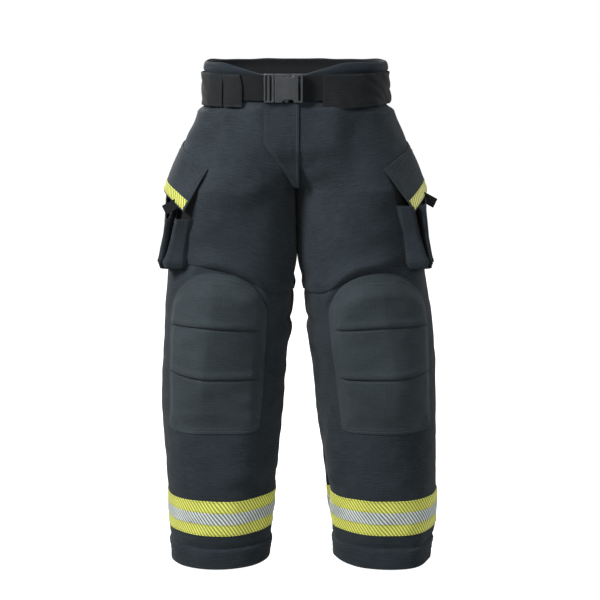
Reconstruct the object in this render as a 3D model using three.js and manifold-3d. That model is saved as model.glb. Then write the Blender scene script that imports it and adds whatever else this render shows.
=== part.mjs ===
// Structural firefighting trousers as one assembly of separate pieces, in millimetres.
// Frame: origin at the centre of the waist opening, level with the middle of the belt.
// +Z points up, the front faces -Y, and the wearer's left is +X.
import * as THREE from "three";
import { mergeVertices } from "three/addons/utils/BufferGeometryUtils.js";
import Module from "manifold-3d";

const wasm = await Module();
wasm.setup();

// ---- Driving dimensions -------------------------------------------------
const RIM = 50; // top of the waistband at the sides and back
const RIM_FRONT = 29; // its lowest point, at the front centre
const BAND_BOTTOM = 22; // where the waistband is sewn to the shell panels
const CROTCH = -205;
const HEM = -1008;
const CLOTH = 2.5; // outer shell fabric with its seams
const BELT_WIDTH = 50;
const BELT_FRONT = -132.5; // the belt's back face across the flat front
const TRIM_TOP = -859; // upper edge of the leg trim, which is 75 mm wide
const TRIM_WIDTH = 75;
const CUFF_TOP = -962;
const DART_UPPER = -488; // the two darts of the shaped knee
const DART_LOWER = -595;
const KNEE_TOP = -384; // top of the knee patch's dome
const KNEE_BOTTOM = -708;
const POCKET_BOTTOM = -368;

// Leg stations: height, inner edge, outer edge, half depth, centre of depth.
const LEG = [
  [-205, 3.5, 250, 138, 0],
  [-300, 4.5, 262, 128, 0],
  [-400, 9, 272, 121, 0],
  [-500, 19, 281, 117, 0],
  [-600, 30, 288, 113, 2],
  [-700, 39, 290, 109, 4],
  [-800, 51, 288, 105, 6],
  [-900, 61, 287, 101, 8],
  [-1008, 71, 283, 97, 10],
];
// Hip stations: height, half width, half depth, roundness.
const HIP = [
  [50, 190, 122, 3],
  [0, 192, 124, 3],
  [-60, 204, 130, 2.8],
  [-122, 230, 136, 2.5],
  [-205, 250, 140, 2.4],
];
const LEG_ROUNDNESS = 2.2;
const PARTING_TOP = -60; // height where the legs begin to part
const PARTING_POWER = 4; // how late the parting happens, which sets the rise curve
const AROUND = 28; // facets round one leg
const CENTRE_GAP = 0.2; // half of the gap between the left and right panels
const LINER_THICK = 3.2;

// ---- Small helpers ------------------------------------------------------
const lerp = THREE.MathUtils.lerp;
const smooth = (t, a, b) => THREE.MathUtils.smoothstep(t, a, b);
const signedPower = (v, p) => Math.sign(v) * Math.abs(v) ** p;
const SIDES = [
  ["right", -1],
  ["left", 1],
];

// A value of a station table at height z, on a smooth curve through the stations.
function station(rows, z, column) {
  const last = rows.length - 1;
  const i = Math.max(0, Math.min(last - 1, rows.findIndex((r) => r[0] <= z) - 1));
  const at = rows[z <= rows[last][0] ? last - 1 : i];
  const next = rows[rows.indexOf(at) + 1];
  const before = rows[Math.max(0, rows.indexOf(at) - 1)];
  const after = rows[Math.min(last, rows.indexOf(next) + 1)];
  const span = next[0] - at[0];
  const t = THREE.MathUtils.clamp((z - at[0]) / span, 0, 1);
  const slope = (a, b) => ((b[column] - a[column]) / (b[0] - a[0])) * span;
  const m0 = slope(before, next);
  const m1 = slope(at, after);
  const t2 = t * t;
  const t3 = t2 * t;
  return (
    (2 * t3 - 3 * t2 + 1) * at[column] + (t3 - 2 * t2 + t) * m0 +
    (3 * t2 - 2 * t3) * next[column] + (t3 - t2) * m1
  );
}

// A point of the trousers' surface on one side. u runs from the front centre
// (the inseam below the crotch) round the outer side, 0.5, to the back centre.
function skin(side, u, z, off = 0) {
  const turn = 2 * Math.PI * u;
  const share = (1 - Math.cos(turn)) / 2;
  const n = station(HIP, z, 3);
  const hipX = (station(HIP, z, 1) + off) * share;
  const hipY = (u < 0.5 ? -1 : 1) * (station(HIP, z, 2) + off) * (1 - share ** n) ** (1 / n);
  const low = Math.min(z, CROTCH);
  const inner = station(LEG, low, 1);
  const outer = z > CROTCH ? station(HIP, z, 1) : station(LEG, z, 2);
  const half = (outer - inner) / 2 + off;
  const legX = (outer + inner) / 2 - half * signedPower(Math.cos(turn), 2 / LEG_ROUNDNESS);
  const depth = station(LEG, low, 3) + off;
  const legY = station(LEG, low, 4) - depth * signedPower(Math.sin(turn), 2 / LEG_ROUNDNESS);
  const parted = THREE.MathUtils.clamp((PARTING_TOP - z) / (PARTING_TOP - CROTCH), 0, 1);
  const legness = parted ** PARTING_POWER;
  const x = Math.max(CENTRE_GAP, lerp(hipX, legX, legness));
  return new THREE.Vector3(side * x, lerp(hipY, legY, legness), z);
}

// The same surface round both sides at hip height: t = 0 is the front centre,
// 0.25 the left side, 0.5 the back centre and 0.75 the right side.
function hoop(t, z, off = 0) {
  const p = t <= 0.5 ? skin(1, 2 * t, z, off) : skin(-1, 2 * (1 - t), z, off);
  if (t === 0 || t === 0.5 || t === 1) p.x = 0;
  return p;
}

const steps = (from, to, count) =>
  Array.from({ length: count + 1 }, (_, i) => lerp(from, to, i / count));

// A closed solid between two offsets of a surface: at(u, v, offset).
function slab(at, us, vs, inside, outside, ring = false) {
  const rows = vs.length;
  const cols = ring ? us.length - 1 : us.length;
  const points = [];
  for (const off of [outside, inside])
    for (const v of vs)
      for (let i = 0; i < cols; i++) points.push(at(us[i], v, off));
  const id = (layer, j, i) => layer * rows * cols + j * cols + (i % cols);
  const faces = [];
  const quad = (a, b, c, d) => faces.push(a, b, c, a, c, d);
  const last = ring ? cols : cols - 1;
  for (let j = 0; j < rows - 1; j++)
    for (let i = 0; i < last; i++) {
      quad(id(0, j, i), id(0, j, i + 1), id(0, j + 1, i + 1), id(0, j + 1, i));
      quad(id(1, j, i), id(1, j + 1, i), id(1, j + 1, i + 1), id(1, j, i + 1));
    }
  for (let i = 0; i < last; i++) {
    quad(id(0, 0, i), id(1, 0, i), id(1, 0, i + 1), id(0, 0, i + 1));
    quad(id(0, rows - 1, i), id(0, rows - 1, i + 1), id(1, rows - 1, i + 1), id(1, rows - 1, i));
  }
  if (!ring)
    for (let j = 0; j < rows - 1; j++) {
      quad(id(0, j, 0), id(0, j + 1, 0), id(1, j + 1, 0), id(1, j, 0));
      quad(id(0, j, last), id(1, j, last), id(1, j + 1, last), id(0, j + 1, last));
    }
  return facingOut(points, faces);
}

// A geometry from points and triangles, turned so that its faces point out.
function facingOut(points, faces) {
  let volume = 0;
  for (let i = 0; i < faces.length; i += 3) {
    const [a, b, c] = faces.slice(i, i + 3).map((k) => points[k]);
    volume += a.dot(new THREE.Vector3().crossVectors(b, c));
  }
  if (volume < 0)
    for (let i = 0; i < faces.length; i += 3)
      [faces[i + 1], faces[i + 2]] = [faces[i + 2], faces[i + 1]];
  const geometry = new THREE.BufferGeometry();
  geometry.setAttribute(
    "position",
    new THREE.Float32BufferAttribute(points.flatMap((p) => [p.x, p.y, p.z]), 3),
  );
  geometry.setIndex(faces);
  return geometry;
}

// three.js geometry to a solid that can be cut, and back.
function solid(geometry) {
  const bare = geometry.clone();
  bare.deleteAttribute("normal");
  bare.deleteAttribute("uv");
  const merged = mergeVertices(bare, 1e-4);
  return new wasm.Manifold(
    new wasm.Mesh({
      numProp: 3,
      vertProperties: new Float32Array(merged.attributes.position.array),
      triVerts: new Uint32Array(merged.index.array),
    }),
  );
}

function geometryOf(body) {
  const mesh = body.getMesh();
  const geometry = new THREE.BufferGeometry();
  geometry.setAttribute("position", new THREE.Float32BufferAttribute(mesh.vertProperties, 3));
  geometry.setIndex(Array.from(mesh.triVerts));
  return geometry;
}

const box = (x0, x1, y0, y1, z0, z1) =>
  new THREE.BoxGeometry(x1 - x0, y1 - y0, z1 - z0).translate(
    (x0 + x1) / 2, (y0 + y1) / 2, (z0 + z1) / 2,
  );

const joined = (...shapes) => geometryOf(shapes.map(solid).reduce((a, b) => a.add(b)));
const cut = (shape, ...tools) =>
  geometryOf(tools.map(solid).reduce((a, b) => a.subtract(b), solid(shape)));

// A flat outline in X and Z, extruded along Y from y0 to y1.
function plate(corners, y0, y1) {
  const shape = new THREE.Shape(corners.map(([x, z]) => new THREE.Vector2(x, z)));
  const geometry = new THREE.ExtrudeGeometry(shape, { depth: y1 - y0, bevelEnabled: false });
  return geometry.rotateX(Math.PI / 2).translate(0, y1, 0);
}

// ---- Materials ----------------------------------------------------------
const finish = (color, roughness, metalness = 0) =>
  new THREE.MeshStandardMaterial({ color, roughness, metalness });
const SHELL = finish(0x3a424b, 0.85);
const BAND = finish(0x2b3443, 0.85);
const PATCH = finish(0x424d50, 0.9);
const WEBBING = finish(0x232626, 0.75);
const BUCKLE = finish(0x46494e, 0.5);
const YELLOW = finish(0xdfe43a, 0.6);
const SILVER = finish(0xd4d9e6, 0.35);
const LINER = finish(0x24272b, 0.9);
const FOAM = finish(0x6a6f72, 0.95);
const BLACK = finish(0x17191c, 0.9);
const METAL = finish(0x9a7f45, 0.35, 0.9);

const trousers = new THREE.Group();
function add(name, geometry, material) {
  const mesh = new THREE.Mesh(geometry, material);
  mesh.name = name;
  trousers.add(mesh);
}

// ---- Edges of the shell panels ------------------------------------------
// The hip panels end, and the leg panels begin, along a line that rises from the
// crotch to the outer hip. Between the two lines the cloth folds as the leg swings.
const between = (marks, u) => {
  const k = Math.max(1, marks.findIndex(([at]) => at >= u));
  const [u0, z0] = marks[k - 1];
  const [u1, z1] = marks[k];
  return lerp(z0, z1, smooth(u, u0, u1));
};
const HIP_LOW = [[0, -185], [0.14, -118], [0.3, -66], [0.5, -48], [0.7, -72], [0.86, -132], [1, -190]];
const LEG_HIGH = [[0, -211], [0.14, -196], [0.3, -136], [0.5, -84], [0.7, -104], [0.86, -166], [1, -211]];
const hipLow = (u) => between(HIP_LOW, u);
const legHigh = (u) => between(LEG_HIGH, u);
const rimTop = (t) => {
  const fromFront = Math.min(t, 1 - t) * 4; // 0 at the front centre, 1 at the sides
  return lerp(RIM_FRONT, RIM, smooth(fromFront, 0, 0.62));
};

const LEG_COLS = steps(0, 1, AROUND);
const LAYER_GAP = 0.8;

// A ring or panel of a leg between two edge lines.
const legSlab = (side, top, bottom, rows, inside, outside, cols = LEG_COLS) =>
  slab(
    (u, v, off) => skin(side, u, lerp(top(u), bottom(u), v), off),
    cols, steps(0, 1, rows), inside, outside, cols === LEG_COLS,
  );
const level = (z) => () => z;

// ---- Waist --------------------------------------------------------------
const HOOP_COLS = steps(0, 1, 2 * AROUND);
const hoopSlab = (top, bottom, rows, inside, outside) =>
  slab(
    (t, v, off) => hoop(t, lerp(top(t), bottom(t), v), off),
    HOOP_COLS, steps(0, 1, rows), inside, outside, true,
  );

function buildWaist() {
  add("waistband", hoopSlab(rimTop, level(BAND_BOTTOM), 1, -CLOTH, 0), BAND);
  add("waist_facing", hoopSlab((t) => rimTop(t) - 2, level(-40), 2, -7, -CLOTH - 1.6), BLACK);
  for (const [name, side] of SIDES) {
    const panel = (top, low, rows, inside, outside) =>
      slab(
        (u, v, off) => skin(side, u, lerp(top, hipLow(u) + low, v), off),
        LEG_COLS, steps(0, 1, rows), inside, outside,
      );
    add("hip_shell_" + name, panel(BAND_BOTTOM - 0.4, 0, 4, -CLOTH, 0), SHELL);
    const behindFacing = -8.6; // the liner hangs inside the waist facing
    add("hip_liner_" + name,
      panel(BAND_BOTTOM - 4, 3, 4, behindFacing - LINER_THICK, behindFacing), LINER);
  }
}

// ---- Belt and buckle ----------------------------------------------------
// The belt follows the hips and is flat across the front.
function beltPoint(t, z, off) {
  const p = hoop(t, z, 6 + off);
  p.y = Math.max(p.y, BELT_FRONT - off);
  return p;
}
const BELT_THICK = 2;
const beltStrip = (t0, t1, count, half, inside, outside) =>
  slab(
    (t, z, off) => beltPoint(t, z, off),
    steps(t0, t1, count), steps(half[0], half[1], 1), inside, outside,
  );

// The place round the belt, 0 to 1, of a point on the front at x, or on the back.
function beltAt(x, back = false) {
  let low = 0;
  let high = 0.25;
  for (let i = 0; i < 40; i++) {
    const mid = (low + high) / 2;
    if (beltPoint(mid, 0, 0).x < Math.abs(x)) low = mid;
    else high = mid;
  }
  const t = back ? 0.5 - low : low;
  return x < 0 ? 1 - t : t;
}

const BUCKLE_BACK = -134.9;
const BUCKLE_FRONT = -147;
const BUCKLE_HALF = 28; // half of its height
const BUCKLE_X = { frame: -63, plugEnd: -42.5, socket: -41.5, socketEnd: 5, bar: 14 };
const NOTCH = { start: -24, end: -6, depth: 6 }; // where the latches show and are pressed
const LATCH = { tip: -14, thick: 5, out: 27.4, heel: -23.5 };
const WALL = 2.2;
const BAR = 3; // bars and slots that the webbing runs round
const TONGUE_END = -8;

function buildBelt() {
  const half = BELT_WIDTH / 2;
  add("belt_webbing",
    beltStrip(beltAt(12), beltAt(-50), 44, [-half, half], -BELT_THICK, -0.2), WEBBING);
  add("belt_tunnel_left",
    beltStrip(beltAt(53), beltAt(60, true), 16, [-33, 27], 1.2, 3.2), WEBBING);
  add("belt_tunnel_right",
    beltStrip(beltAt(-60, true), beltAt(-155), 14, [-33, 27], 1.2, 3.2), WEBBING);
  add("belt_loop", beltStrip(beltAt(-111), beltAt(-148), 3, [-37, 35], 1.2, 3), WEBBING);

  const b = BUCKLE_X;
  const h = BUCKLE_HALF;
  const middle = (BUCKLE_BACK + BUCKLE_FRONT) / 2;
  const proud = 1; // how far each cutter runs past the face it opens
  const [front, back] = [BUCKLE_FRONT - proud, BUCKLE_BACK + proud];
  // Socket: a flat box, open towards the plug, with a finger notch above and below
  // and a bar at its far end for the belt.
  const socket = cut(
    box(b.socket, b.bar, BUCKLE_FRONT, BUCKLE_BACK, -h, h),
    box(b.socket - proud, b.socketEnd - WALL, BUCKLE_FRONT + WALL, BUCKLE_BACK - WALL,
      -h + WALL, h - WALL),
    box(NOTCH.start, NOTCH.end, front, back, h - NOTCH.depth, h + proud),
    box(NOTCH.start, NOTCH.end, front, back, -h - proud, -h + NOTCH.depth),
    box(b.socketEnd, b.bar - BAR - 1, front, back, -half, half),
  );
  add("buckle_socket", socket, BUCKLE);
  // Plug: a frame with a ladder bar for the belt and a guide tongue.
  const plug = joined(
    cut(
      box(b.frame, b.plugEnd, BUCKLE_FRONT + 1, BUCKLE_BACK - 1, -h, h),
      ...[4, 12].map((from) =>
        box(b.frame + from, b.frame + from + BAR, front, back, -half, half)),
    ),
    box(b.plugEnd - proud, TONGUE_END, middle - 2, middle + 2, -7, 7),
  );
  add("buckle_plug", plug, BUCKLE);
  // Each latch arm is rooted in the plug and catches in the socket's notch.
  for (const [name, up] of [["buckle_latch_upper", 1], ["buckle_latch_lower", -1]]) {
    const outline = [
      [b.plugEnd + 0.4, 14], [LATCH.tip - 8, 16], [LATCH.tip, 19], [LATCH.tip, LATCH.out - 2],
      [LATCH.tip - 3, LATCH.out], [LATCH.heel, LATCH.out], [LATCH.heel, 25],
      [LATCH.heel - 2.5, 24.4], [b.plugEnd + 0.4, 21],
    ].map(([x, z]) => [x, up * z]);
    if (up < 0) outline.reverse();
    add(name, plate(outline, middle - LATCH.thick / 2, middle + LATCH.thick / 2), BUCKLE);
  }
}

// ---- Fly ----------------------------------------------------------------
const FLY = { hinge: -65, edge: 6, top: -36, bottom: -120, corner: -94, thick: 2.5 };
const ZIP = { x: -20, tape: 12, top: 20, bottom: -128, gap: 1.4, front: -127.6, lean: 0.072 };
const SLIDER = { half: 4.5, thick: 2.5, length: 12 };

// The fly lies on a plane that leans forward as it goes down, so that the zip is straight.
const flyPoint = (x, z, off) =>
  new THREE.Vector3(x, ZIP.front - ZIP.lean * (ZIP.top - z) - off, z);
const flySlab = (xs, zs, inside, outside) =>
  slab((x, z, off) => flyPoint(x, z, off), xs, zs, inside, outside);

function buildFly() {
  const tape = (from, to) => flySlab([from, to], steps(ZIP.top, ZIP.bottom, 1), 0, 0.8);
  add("zip_tape_right", tape(ZIP.x - ZIP.gap - ZIP.tape, ZIP.x - ZIP.gap), BLACK);
  add("zip_tape_left", tape(ZIP.x + ZIP.gap, ZIP.x + ZIP.gap + ZIP.tape), BLACK);
  // Slider body with the tongue of its pull.
  const back = 1.2;
  const top = ZIP.top - 2;
  const slider = joined(
    flySlab([ZIP.x - SLIDER.half, ZIP.x + SLIDER.half], [top, top - SLIDER.length],
      back, back + SLIDER.thick),
    flySlab([ZIP.x - 1, ZIP.x + 1], [top + 3, top - SLIDER.length + 1],
      back + 0.6, back + SLIDER.thick),
  );
  add("zip_slider", slider, METAL);
  // The outer flap is stitched along its hinge edge and closes over the zip. Its lower
  // corner is cut away along the stitching.
  const low = (x) => lerp(FLY.corner, FLY.bottom, smooth(x, FLY.hinge, -34));
  const over = back + SLIDER.thick + LAYER_GAP;
  add("fly_flap",
    slab(
      (x, v, off) => flyPoint(x, lerp(FLY.top, low(x), v), off),
      [FLY.hinge, -54, -44, -34, FLY.edge], [0, 1], over, over + FLY.thick,
    ), SHELL);
}

// ---- Legs ---------------------------------------------------------------
const PATCH_COLS = steps(4 / AROUND, 12 / AROUND, 8);
const dome = (u) => {
  const across = Math.abs((u - 8 / AROUND) / (4 / AROUND)); // 0 at the middle, 1 at the edges
  return lerp(KNEE_TOP, KNEE_TOP - 78, across ** 2.4);
};

function buildLeg(name, side) {
  const node = (piece) => piece + "_" + name;
  const ring = (top, bottom, rows, inside, outside) =>
    legSlab(side, top, bottom, rows, inside, outside);
  const gap = 0.5;

  // Outer shell: thigh, the fold at the groin, the knee's shaped band, and the shin.
  add(node("thigh_shell"), ring(legHigh, level(DART_UPPER), 4, -CLOTH, 0), SHELL);
  const creaseCols = LEG_COLS.slice(1, -1); // it stays open at the crotch
  add(node("hip_crease"),
    slab(
      (u, v, off) => skin(side, u, lerp(hipLow(u) - gap, legHigh(u) + gap, v), off),
      creaseCols, steps(0, 1, 2), -CLOTH, 0,
    ), SHELL);
  add(node("knee_band"), ring(level(DART_UPPER - gap), level(DART_LOWER + gap), 2, -CLOTH, 0), SHELL);
  add(node("shin_shell"), ring(level(DART_LOWER), level(HEM + 3), 4, -CLOTH, 0), SHELL);

  // Quilted liner, which ends above the hem.
  const inner = [-CLOTH - LAYER_GAP - LINER_THICK, -CLOTH - LAYER_GAP];
  add(node("thigh_liner"), ring(legHigh, level(DART_UPPER), 4, ...inner), LINER);
  add(node("shin_liner"), ring(level(DART_LOWER - 4), level(HEM + 55), 3, ...inner), LINER);

  // Knee: a foam pad under a patch in three sections, parted by the two darts.
  const front = (top, bottom, rows, inside, outside, cols = PATCH_COLS) =>
    legSlab(side, top, bottom, rows, inside, outside, cols);
  add(node("knee_pad"),
    front(level(DART_UPPER - 3), level(DART_LOWER + 3), 2, LAYER_GAP, 7,
      steps(5 / AROUND, 11 / AROUND, 6)), FOAM);
  add(node("knee_patch_upper"), front(dome, level(DART_UPPER + 1), 2, LAYER_GAP, 3.4), PATCH);
  add(node("knee_patch_middle"),
    front(level(DART_UPPER - 1), level(DART_LOWER + 1), 2, 7.8, 10), PATCH);
  add(node("knee_patch_lower"), front(level(DART_LOWER - 1), level(KNEE_BOTTOM), 2, LAYER_GAP, 3.4),
    PATCH);

  // Trim: a fluorescent band with a reflective stripe sewn along its middle third.
  const third = TRIM_WIDTH / 3;
  add(node("leg_trim"), ring(level(TRIM_TOP), level(TRIM_TOP - TRIM_WIDTH), 1, LAYER_GAP, 1.6), YELLOW);
  add(node("reflective_stripe"),
    ring(level(TRIM_TOP - third), level(TRIM_TOP - 2 * third), 1, 2.2, 2.8), SILVER);
  add(node("cuff"), ring(level(CUFF_TOP), level(HEM), 2, LAYER_GAP, 2.6), SHELL);

  buildPocket(name, side);
}

// ---- Bellows pockets ----------------------------------------------------
// The pocket's outline seen from above: front root, front edge, outer face, back.
const pocketOutline = (z, inset) => {
  const face = lerp(288, 279, smooth(z, POCKET_BOTTOM, -215)) - inset;
  return [
    [206, -100 + inset], [face - 12, -88 + inset], [face, -74 + inset], [face + 1.5, 0],
    [face, 78 - inset], [face - 12, 92 - inset], [206, 104 - inset], [150, 60], [150, -60],
  ];
};
const mouthTilt = 0.17; // the mouth rises towards the back by this much per millimetre
const mouth = (y) => -229 + mouthTilt * y;

function pocketBlock(side, inset, bottom, top) {
  const outline = (z) => pocketOutline(z, inset);
  const count = outline(bottom).length;
  const points = [];
  const levels = steps(bottom, top, 4);
  for (const z of levels)
    for (const [x, y] of outline(z)) points.push(new THREE.Vector3(side * x, y, z));
  const faces = [];
  for (let j = 0; j < levels.length - 1; j++)
    for (let i = 0; i < count; i++) {
      const a = j * count + i;
      const b = j * count + ((i + 1) % count);
      faces.push(a, b, b + count, a, b + count, a + count);
    }
  for (let i = 1; i < count - 1; i++) {
    faces.push(0, i + 1, i);
    const base = (levels.length - 1) * count;
    faces.push(base, base + i, base + i + 1);
  }
  return facingOut(points, faces);
}

// The leg as a plain solid, grown by an offset, to cut what lies on it.
function legCore(side, off) {
  const rows = steps(-120, -420, 12);
  const points = rows.flatMap((z) => LEG_COLS.slice(0, -1).map((u) => skin(side, u, z, off)));
  const count = AROUND;
  const faces = [];
  for (let j = 0; j < rows.length - 1; j++)
    for (let i = 0; i < count; i++) {
      const a = j * count + i;
      const b = j * count + ((i + 1) % count);
      faces.push(a, b, b + count, a, b + count, a + count);
    }
  const top = points.push(new THREE.Vector3(side * 120, 0, rows[0])) - 1;
  const low = points.push(new THREE.Vector3(side * 130, 0, rows[rows.length - 1])) - 1;
  const base = (rows.length - 1) * count;
  for (let i = 0; i < count; i++) {
    faces.push(top, (i + 1) % count, i);
    faces.push(low, base + i, base + ((i + 1) % count));
  }
  return facingOut(points, faces);
}

// What lies above the tilted mouth, to cut the pocket's top with.
function aboveMouth(side) {
  const tilt = Math.atan(mouthTilt);
  return new THREE.BoxGeometry(400, 400, 200)
    .translate(0, 0, 100).rotateX(tilt).translate(side * 220, 0, mouth(0));
}

const FLAP = { front: 0.335, back: 0.665, seamFront: -163, seamBack: -112, drop: 82 };
function flapPoint(side, u, v, off) {
  const z = lerp(FLAP.seamFront, FLAP.seamBack, u);
  const seam = skin(side, lerp(FLAP.front, FLAP.back, u), z, 6 + off);
  const bow = 1 - Math.abs(2 * u - 1) ** 3;
  const low = new THREE.Vector3(side * (234 + 47 * bow + off), lerp(-106, 104, u), z - FLAP.drop);
  return seam.lerp(low, v);
}

function buildPocket(name, side) {
  const node = (piece) => piece + "_" + name;
  const top = -190;
  const wall = 2;
  const bag = cut(
    pocketBlock(side, 0, POCKET_BOTTOM, top),
    legCore(side, LAYER_GAP),
    geometryOf(solid(pocketBlock(side, wall, POCKET_BOTTOM + wall, top + 20))
      .subtract(solid(legCore(side, LAYER_GAP + wall)))),
    aboveMouth(side),
  );
  add(node("cargo_pocket"), bag, SHELL);

  const cols = steps(0, 1, 10);
  const flap = (v0, v1, inside, outside, c = cols) =>
    slab((u, v, off) => flapPoint(side, u, v, off), c, steps(v0, v1, 2), inside, outside);
  add(node("pocket_flap"), flap(0, 1, 0, CLOTH), SHELL);
  add(node("flap_stripe"), flap(0.78, 0.96, CLOTH + 1, CLOTH + 1.8), YELLOW);
  // The pull tab is a folded strip of webbing below the flap's edge.
  const tab = slab((u, v, off) => flapPoint(side, u, v, off), [0.42, 0.58], [1.02, 1.22], 0, 2.4);
  add(node("pull_tab"), tab, WEBBING);
  add(node("flap_hook_tape"), flap(0.66, 0.9, -1.4, -0.4, steps(0.3, 0.7, 4)), BLACK);
}

buildWaist();
buildBelt();
buildFly();
for (const [name, side] of SIDES) buildLeg(name, side);

export default trousers;
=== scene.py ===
"""Looks of the firefighting trousers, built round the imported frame.

Lengths are in millimetres inside the shape functions and are turned into metres when a mesh
is made. Frame: origin at the centre of the waist opening at mid belt height, +Z up, the
front faces -Y and the wearer's left is +X.
"""
import math
from functools import partial

import bpy
import numpy as np
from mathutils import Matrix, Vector


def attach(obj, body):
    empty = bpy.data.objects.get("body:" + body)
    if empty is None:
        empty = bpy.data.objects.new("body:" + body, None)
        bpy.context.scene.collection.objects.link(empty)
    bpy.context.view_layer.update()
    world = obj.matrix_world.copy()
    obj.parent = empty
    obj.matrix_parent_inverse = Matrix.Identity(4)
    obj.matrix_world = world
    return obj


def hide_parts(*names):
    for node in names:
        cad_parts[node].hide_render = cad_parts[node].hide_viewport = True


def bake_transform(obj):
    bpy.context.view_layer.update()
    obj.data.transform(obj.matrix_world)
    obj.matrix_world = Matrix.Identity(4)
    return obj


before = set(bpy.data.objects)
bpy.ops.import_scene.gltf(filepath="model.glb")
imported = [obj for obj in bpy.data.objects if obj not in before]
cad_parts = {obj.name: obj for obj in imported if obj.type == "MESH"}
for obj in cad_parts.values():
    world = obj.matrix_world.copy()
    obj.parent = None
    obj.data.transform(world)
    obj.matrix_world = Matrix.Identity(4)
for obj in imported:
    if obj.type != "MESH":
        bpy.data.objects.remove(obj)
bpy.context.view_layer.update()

MM = 0.001
SIDES = (("right", -1), ("left", 1))
TAU = 2 * math.pi

# ---- The garment's surface, as the frame has it
BAND_BOTTOM = 22
RIM, RIM_FRONT = 50, 26
CROTCH = -205
HEM = -1008
PARTING_TOP, PARTING_POWER = -60, 4
LEG_ROUNDNESS = 2.2
PATCH_MIDDLE, PATCH_HALF = 8 / 28, 3.9 / 28
KNEE_TOP, KNEE_BOTTOM = -375, -712
TRIM_TOP, TRIM_WIDTH = -859, 75
CUFF_TOP = -966
ZIP_X, ZIP_TOP, ZIP_BOTTOM, ZIP_FRONT, ZIP_LEAN = -20, 20, -128, -127.6, 0.072
FLY_STAND = 4.2  # the flap's back from the plane of the zip, which clears the slider
# Leg stations: height, inner edge, outer edge, half depth, centre of depth.
LEG = np.array([
    [-205, 3.5, 250, 138, 0], [-300, 4.5, 262, 128, 0], [-400, 9, 272, 121, 0],
    [-500, 19, 281, 117, 0], [-600, 30, 288, 113, 2], [-700, 39, 290, 109, 4],
    [-800, 51, 288, 105, 6], [-900, 61, 287, 101, 8], [-1008, 71, 283, 97, 10],
], float)
# Hip stations: height, half width, half depth, roundness.
HIP = np.array([
    [50, 190, 122, 3], [0, 192, 124, 3], [-60, 204, 130, 2.8],
    [-122, 230, 136, 2.5], [-205, 250, 140, 2.4],
], float)


def smooth(x, low, high):
    t = np.clip((x - low) / (high - low), 0, 1)
    return t * t * (3 - 2 * t)


def mix(a, b, t):
    return a + (b - a) * t


def unit(x):
    return np.clip(x, 0, 1)


def arch(x):
    """0 at both ends, 0 and 1, and 1 half way."""
    return np.sin(math.pi * unit(x))


def bump(x, centre, width):
    return np.exp(-(((x - centre) / width) ** 2))


def signed_power(v, p):
    return np.sign(v) * np.abs(v) ** p


def station(rows, z, column):
    """A column of a station table at heights z, on a smooth curve through the stations."""
    heights, values = rows[:, 0], rows[:, column]
    last = len(rows) - 1
    i = np.clip(np.searchsorted(-heights, -np.asarray(z, float), side="right") - 1, 0, last - 1)
    before, after = np.maximum(i - 1, 0), np.minimum(i + 2, last)
    span = heights[i + 1] - heights[i]
    t = unit((z - heights[i]) / span)
    m0 = (values[i + 1] - values[before]) / (heights[i + 1] - heights[before]) * span
    m1 = (values[after] - values[i]) / (heights[after] - heights[i]) * span
    return ((2 * t**3 - 3 * t**2 + 1) * values[i] + (t**3 - 2 * t**2 + t) * m0 + (3 * t**2 - 2 * t**3)
        * values[i + 1] + (t**3 - t**2) * m1)


def skin(side, u, z):
    """The plain surface: u runs from the front centre round the outer side, 0.5, to the back."""
    u, z = np.broadcast_arrays(np.asarray(u, float), np.asarray(z, float))
    turn = TAU * u
    share = (1 - np.cos(turn)) / 2
    n = station(HIP, z, 3)
    half_width = station(HIP, z, 1)
    hip_x = half_width * share
    hip_y = np.where(u < 0.5, -1, 1) * station(HIP, z, 2) * (1 - share**n) ** (1 / n)
    low = np.minimum(z, CROTCH)
    inner = station(LEG, low, 1)
    outer = np.where(z > CROTCH, half_width, station(LEG, z, 2))
    half = (outer - inner) / 2
    leg_x = (outer + inner) / 2 - half * signed_power(np.cos(turn), 2 / LEG_ROUNDNESS)
    leg_y = (station(LEG, low, 4) - station(LEG, low, 3) * signed_power(np.sin(turn), 2 / LEG_ROUNDNESS))
    parted = unit((PARTING_TOP - z) / (PARTING_TOP - CROTCH)) ** PARTING_POWER
    return np.stack([side * np.maximum(0, mix(hip_x, leg_x, parted)), mix(hip_y, leg_y, parted), z], -1)


def normal(side, u, z):
    """Outward unit normals of the plain surface."""
    du, dz = 0.003, 1.5
    u, z = np.broadcast_arrays(np.asarray(u, float), np.asarray(z, float))
    inside = np.where(z > CROTCH, np.clip(u, du, 1 - du), u)
    along = skin(side, inside + du, z) - skin(side, inside - du, z)
    up = skin(side, inside, z + dz) - skin(side, inside, z - dz)
    n = np.cross(along, up) * side
    return n / np.maximum(np.linalg.norm(n, axis=-1, keepdims=True), 1e-9)


def ripple(a, b, seed, waves=9):
    """A soft irregular pattern, about -1 to 1, over the plane (a, b) in millimetres."""
    rng = np.random.default_rng(seed)
    total = np.zeros(np.broadcast(a, b).shape)
    for _ in range(waves):
        angle, length, phase = rng.uniform(0, TAU), rng.uniform(0.7, 1.6), rng.uniform(0, TAU)
        total = total + np.sin(TAU * (a * math.cos(angle) + b * math.sin(angle)) / length + phase)
    return total / math.sqrt(waves)


GIRTH = 740  # round one leg, for patterns and cloth coordinates
WAIST_GIRTH = 1.04  # the same round the waist, in metres
CLOTH = 2.4  # the outer cloth's thickness
TOUCH = 0.02  # how near the two legs come to the middle plane


def pinch(from_front, z):
    """The belt draws the waist in; below it the cloth springs out again."""
    depth = mix(6.0, 12.0, smooth(from_front, 0.35, 0.9))
    return -depth * smooth(z, -52, -36) * mix(1, 0.45, smooth(z, 20, 36))


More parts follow.
